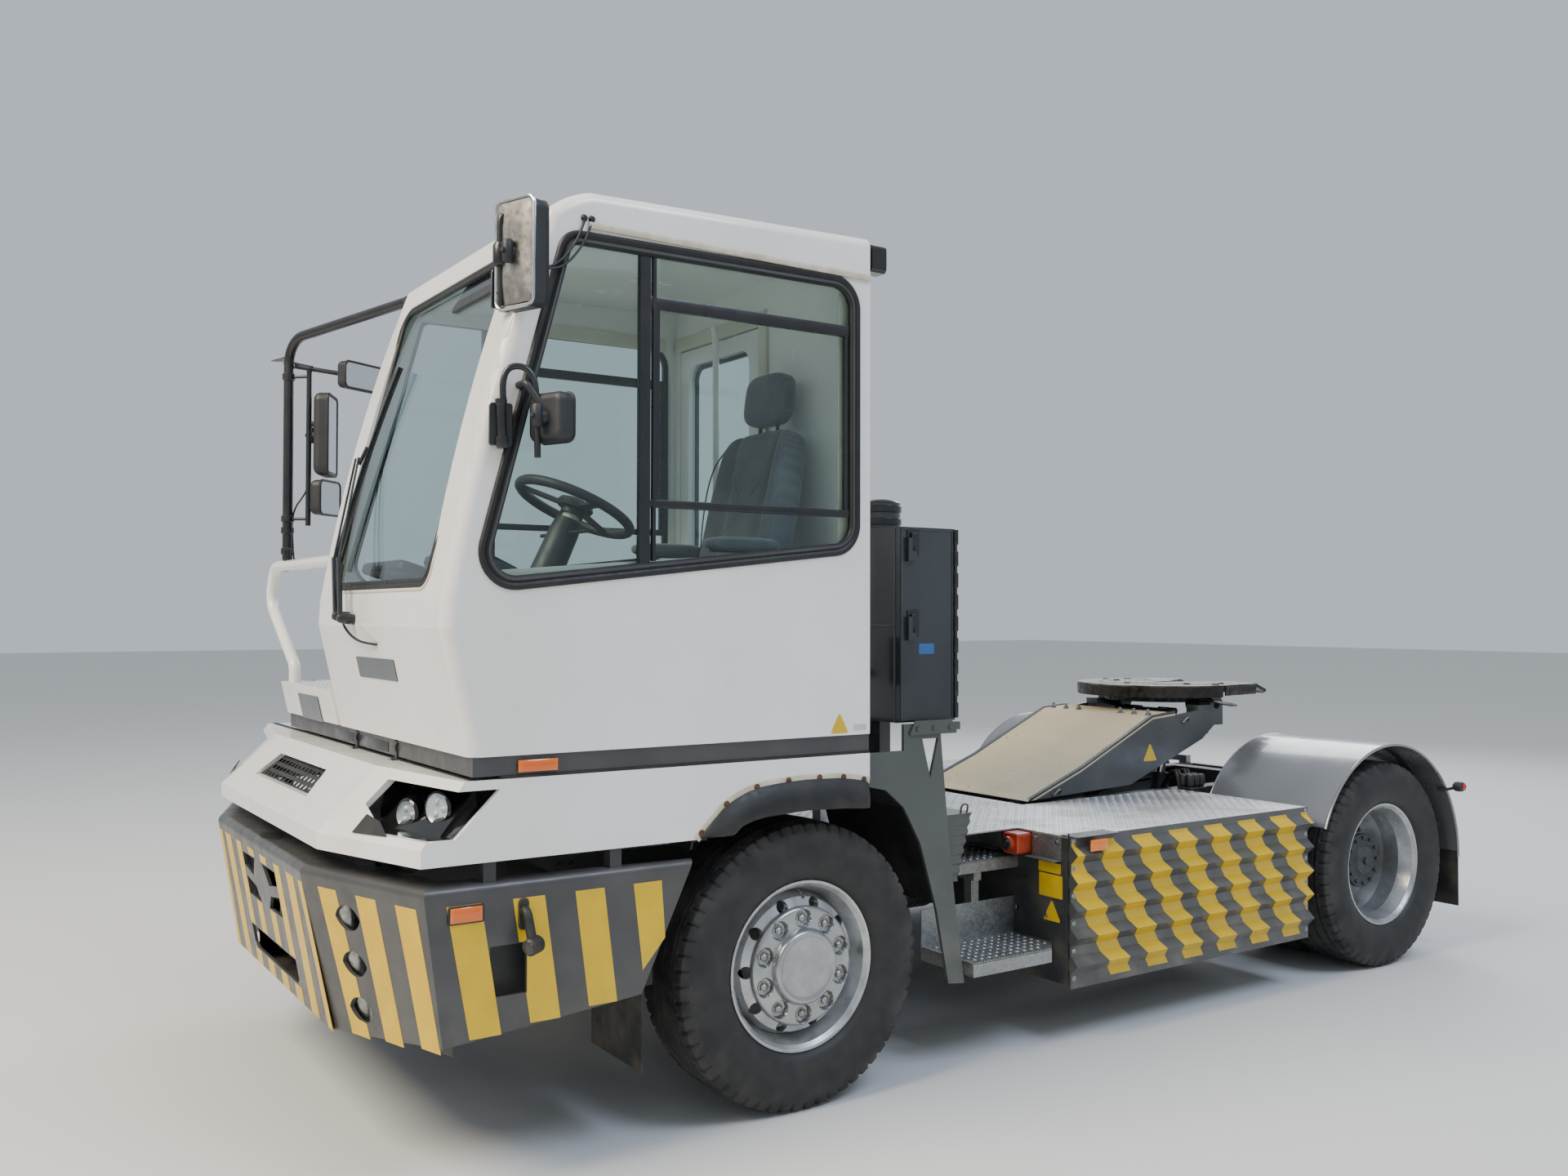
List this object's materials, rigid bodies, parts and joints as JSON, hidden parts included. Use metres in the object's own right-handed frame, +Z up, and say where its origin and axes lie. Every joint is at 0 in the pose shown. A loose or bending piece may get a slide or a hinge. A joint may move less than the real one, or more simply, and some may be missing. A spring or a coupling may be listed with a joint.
{
  "type": "terminal tractor",
  "caption": "Electric terminal tractor with an offset one-man tilting cab, lifting fifth-wheel boom, side battery boxes and twin rear wheels.",
  "frame": {"origin": "on the ground below the middle of the overall size", "axes": "+X forward, +Y to the vehicle's left, +Z up"},
  "size_m": [5.6887, 2.7569, 3.112],
  "materials": {
    "frame_paint": "satin dark paint with road dust",
    "bumper_grey": "satin dark grey paint with yellow stripes",
    "bare_steel": "worn bare steel",
    "motor_alloy": "cast alloy",
    "body_white": "gloss warm white paint",
    "lamp_black": "black lamp housing with clear lenses",
    "switch_orange": "orange-red moulded switch box",
    "trim_rubber": "black extruded rubber",
    "liner_black": "textured black plastic",
    "blade_green": "satin grey-green paint",
    "galvanised": "dull galvanised steel",
    "tread_plate": "worn tread plate with dirt",
    "cabinet_grey": "gloss dark grey paint",
    "mudguard_grey": "grey metallic paint",
    "flap_rubber": "matt black rubber sheet",
    "lamp_lens": "red and amber lenses",
    "rim_silver": "silver paint with brake dust",
    "tyre": "black tyre with dusty sidewalls",
    "boom_grey": "satin dark grey paint",
    "ramp_grit": "sand-coated anti-slip layer",
    "greasy_iron": "greasy cast iron",
    "rod_chrome": "polished rod",
    "cab_glass": "light green tinted glass",
    "band_black": "satin black",
    "pole_black": "black paint",
    "mirror_shell": "grey plastic housing with mirror glass",
    "seat_fabric": "grey woven fabric",
    "dash_grey": "grained grey plastic"
  },
  "bodies": {
    "chassis": {"frame_rails": "frame_paint", "front_bumper": "bumper_grey", "tow_jaw": "bare_steel", "front_axle": "frame_paint", "rear_axle": "frame_paint", "drive_unit": "motor_alloy", "lower_body": "body_white", "headlamps": "lamp_black", "arch_lips": "trim_rubber", "arch_liners": "liner_black", "fender_blades": "blade_green", "steps": "galvanised", "battery_boxes": "frame_paint", "ridge_panels": "bumper_grey", "deck": "tread_plate", "cabinet_body": "cabinet_grey", "rear_mudguards": "mudguard_grey", "mud_flaps": "flap_rubber", "marker_lamps": "lamp_lens", "air_tanks": "frame_paint", "intake_grille": "liner_black", "hanging_plates": "galvanised", "isolator_switch": "switch_orange", "wheel_chock": "blade_green"},
    "cab": {"cab_roof": "body_white", "cab_side_left": "body_white", "cab_side_right": "body_white", "cab_rear": "body_white", "cab_front": "body_white", "cab_glass": "cab_glass", "cab_floor": "band_black", "side_platform": "body_white", "guard_rail": "body_white", "mirror_pole": "pole_black", "mirrors_left": "mirror_shell", "mirrors_right": "mirror_shell", "driver_seat": "seat_fabric", "dash_console": "dash_grey", "roof_lamps": "lamp_black"},
    "cab_door": {"rear_door": "body_white", "rear_door_glass": "cab_glass"},
    "wheel_of_steering": {"steering_wheel": "dash_grey"},
    "locker_door": {"cabinet_door": "cabinet_grey"},
    "left_knuckle": {"knuckle_left": "frame_paint"},
    "right_knuckle": {"knuckle_right": "frame_paint"},
    "cross_rod": {"tie_rod": "frame_paint"},
    "left_front_wheel": {"front_wheel_left": "rim_silver", "front_tyre_left": "tyre"},
    "right_front_wheel": {"front_wheel_right": "rim_silver", "front_tyre_right": "tyre"},
    "left_rear_wheels": {"rear_wheels_left": "rim_silver", "rear_tyres_left": "tyre"},
    "right_rear_wheels": {"rear_wheels_right": "rim_silver", "rear_tyres_right": "tyre"},
    "boom": {"boom_frame": "boom_grey", "ramp_plate": "ramp_grit"},
    "coupling": {"fifth_wheel": "greasy_iron"},
    "barrels": {"lift_barrels": "boom_grey"},
    "rods": {"lift_rods": "rod_chrome"}
  },
  "joints": [
    {"name": "cab_tilt", "type": "hinge", "parent": "chassis", "child": "cab", "pos_m": [2.487, 0.29, 1.285], "axis": [0, 1, 0], "range_deg": [0, 50]},
    {"name": "cab_door_swing", "type": "hinge", "parent": "cab", "child": "cab_door", "pos_m": [1.003, -0.075, 2.1], "axis": [0, 0, 1], "range_deg": [0, 95]},
    {"name": "locker_door_swing", "type": "hinge", "parent": "chassis", "child": "locker_door", "pos_m": [0.503, 1.123, 1.7], "axis": [0, 0, 1], "range_deg": [0, 110]},
    {"name": "steer_left", "type": "hinge", "parent": "chassis", "child": "left_knuckle", "pos_m": [1.265, 0.868, 0.506], "axis": [0, 0, 1], "range_deg": [-40, 40]},
    {"name": "steer_right", "type": "hinge", "parent": "chassis", "child": "right_knuckle", "pos_m": [1.265, -0.868, 0.506], "axis": [0, 0, 1], "range_deg": [-40, 40]},
    {"name": "cross_rod_turn", "type": "hinge", "parent": "left_knuckle", "child": "cross_rod", "pos_m": [1.075, 0.868, 0.369], "axis": [0, 0, 1], "range_deg": [-40, 40]},
    {"name": "steering_wheel_turn", "type": "hinge", "parent": "cab", "child": "wheel_of_steering", "pos_m": [1.985, 0.8, 2.085], "axis": [-0.4226, 0, 0.9063], "range_deg": [-480, 480]},
    {"name": "left_front_spin", "type": "hinge", "parent": "left_knuckle", "child": "left_front_wheel", "pos_m": [1.265, 1.055, 0.506], "axis": [0, 1, 0], "continuous": true},
    {"name": "right_front_spin", "type": "hinge", "parent": "right_knuckle", "child": "right_front_wheel", "pos_m": [1.265, -1.055, 0.506], "axis": [0, 1, 0], "continuous": true},
    {"name": "left_rear_spin", "type": "hinge", "parent": "chassis", "child": "left_rear_wheels", "pos_m": [-2.235, 0.9025, 0.506], "axis": [0, 1, 0], "continuous": true},
    {"name": "right_rear_spin", "type": "hinge", "parent": "chassis", "child": "right_rear_wheels", "pos_m": [-2.235, -0.9025, 0.506], "axis": [0, 1, 0], "continuous": true},
    {"name": "boom_lift", "type": "hinge", "parent": "chassis", "child": "boom", "pos_m": [-0.595, 0, 0.778], "axis": [0, 1, 0], "range_deg": [0, 15]},
    {"name": "coupling_tilt", "type": "hinge", "parent": "boom", "child": "coupling", "pos_m": [-1.985, 0, 1.262], "axis": [0, 1, 0], "range_deg": [-10, 10]},
    {"name": "barrel_swing", "type": "hinge", "parent": "chassis", "child": "barrels", "pos_m": [-1.685, 0, 0.5], "axis": [0, 1, 0], "range_deg": [0, 9.2]},
    {"name": "rod_slide", "type": "slide", "parent": "barrels", "child": "rods", "axis": [-0.0995, 0, 0.995], "range_m": [0, 0.288]}
  ],
  "couplings": [
    {"joint": "steer_right", "follows": "steer_left", "ratio": 1},
    {"joint": "cross_rod_turn", "follows": "steer_left", "ratio": -1},
    {"joint": "steering_wheel_turn", "follows": "steer_left", "ratio": 12},
    {"joint": "barrel_swing", "follows": "boom_lift", "ratio": 0.612},
    {"joint": "rod_slide", "follows": "boom_lift", "m_per_rad": 1.097}
  ]
}
